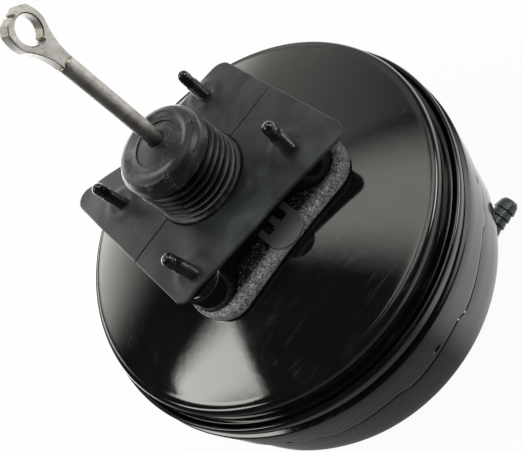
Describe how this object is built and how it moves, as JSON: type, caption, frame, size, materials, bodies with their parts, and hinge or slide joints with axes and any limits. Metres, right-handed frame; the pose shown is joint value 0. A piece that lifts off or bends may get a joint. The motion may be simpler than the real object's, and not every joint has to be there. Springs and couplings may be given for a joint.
{
  "type": "brake booster",
  "caption": "Round tandem vacuum brake booster with a rubber-booted input pushrod, rear mounting studs, a master cylinder seat in front and an elbowed vacuum check valve.",
  "frame": {"origin": "centre of the four rear studs, on the outer face of the rubber flange that seats on the bulkhead", "axes": "+Z rearwards along the booster, out of the mounting face towards the pedal; X and Y along the sides of the stud square"},
  "size_m": [0.2564, 0.2564, 0.3021],
  "materials": {
    "black_gloss_paint": "high gloss black paint on pressed steel",
    "zinc_plate": "zinc plated pressing",
    "black_studs": "black coated thread",
    "flange_rubber": "satin moulded rubber",
    "boot_rubber": "moulded rubber with pale bloom",
    "gasket_foam": "open grained foam",
    "tab_plastic": "matte moulded tab",
    "seal_rubber": "lip seal rubber",
    "nylon": "natural nylon",
    "spring_steel": "drawn spring wire",
    "diaphragm_rubber": "fabric backed rubber",
    "phenolic": "moulded phenolic",
    "filter_felt": "felt and foam",
    "turned_steel": "turned steel",
    "forged_steel": "satin forged steel",
    "valve_plastic": "moulded nylon"
  },
  "bodies": {
    "housing": {"rear_shell": "black_gloss_paint", "front_shell": "black_gloss_paint", "rear_reinforcement": "zinc_plate", "rear_studs": "black_studs", "rubber_flange": "flange_rubber", "rubber_boot": "boot_rubber", "foam_gasket": "gasket_foam", "gasket_tab": "tab_plastic", "rear_seal": "seal_rubber", "rear_bearing": "nylon", "bearing_retainer": "zinc_plate", "front_reinforcement": "zinc_plate", "front_studs": "black_studs", "front_seal": "seal_rubber", "return_spring": "spring_steel", "divider": "zinc_plate", "divider_seal": "seal_rubber", "rear_diaphragm": "diaphragm_rubber", "front_diaphragm": "diaphragm_rubber", "grommet": "seal_rubber"},
    "power_piston": {"valve_body": "phenolic", "rear_diaphragm_plate": "zinc_plate", "front_diaphragm_plate": "zinc_plate", "valve_key": "zinc_plate", "poppet_retainer": "zinc_plate", "poppet_bellows": "seal_rubber", "poppet_spring": "spring_steel", "valve_spring": "spring_steel", "silencer": "filter_felt", "air_filter": "filter_felt", "reaction_disc": "seal_rubber", "output_pushrod": "turned_steel", "output_screw": "turned_steel", "head_retainer": "zinc_plate"},
    "poppet": {"poppet": "seal_rubber"},
    "control_plunger": {"control_plunger": "turned_steel"},
    "input_pushrod": {"input_pushrod": "forged_steel", "rod_spring_seat": "zinc_plate"},
    "check_valve": {"check_valve": "valve_plastic", "check_spring": "spring_steel"},
    "check_disc": {"check_disc": "seal_rubber"}
  },
  "joints": [
    {"name": "piston_travel", "type": "slide", "parent": "housing", "child": "power_piston", "axis": [0, 0, -1], "range_m": [0, 0.028], "stiffness_N_per_m": 3500, "springref_m": -0.02, "deforming": ["return_spring", "rubber_boot", "rear_diaphragm", "front_diaphragm"]},
    {"name": "valve_travel", "type": "slide", "parent": "power_piston", "child": "control_plunger", "axis": [0, 0, -1], "range_m": [0, 0.0018], "stiffness_N_per_m": 6000, "springref_m": -0.008, "deforming": ["valve_spring"]},
    {"name": "poppet_lift", "type": "slide", "parent": "power_piston", "child": "poppet", "axis": [0, 0, -1], "range_m": [0, 0.0008], "deforming": ["poppet_spring", "poppet_bellows"]},
    {"name": "pushrod_tilt", "type": "hinge", "parent": "control_plunger", "child": "input_pushrod", "pos_m": [0, 0, -0.039], "axis": [-0.7373, -0.6756, 0], "range_deg": [-6.9, 1.1]},
    {"name": "check_valve_swivel", "type": "hinge", "parent": "housing", "child": "check_valve", "pos_m": [0.07616, 0.07228, -0.146], "axis": [0, 0, 1], "continuous": true},
    {"name": "check_disc_lift", "type": "slide", "parent": "check_valve", "child": "check_disc", "axis": [0, 0, -1], "range_m": [0, 0.0015], "stiffness_N_per_m": 200, "springref_m": -0.002, "deforming": ["check_spring"]}
  ],
  "couplings": [
    {"joint": "poppet_lift", "follows": "valve_travel", "ratio": 0.4444}
  ]
}
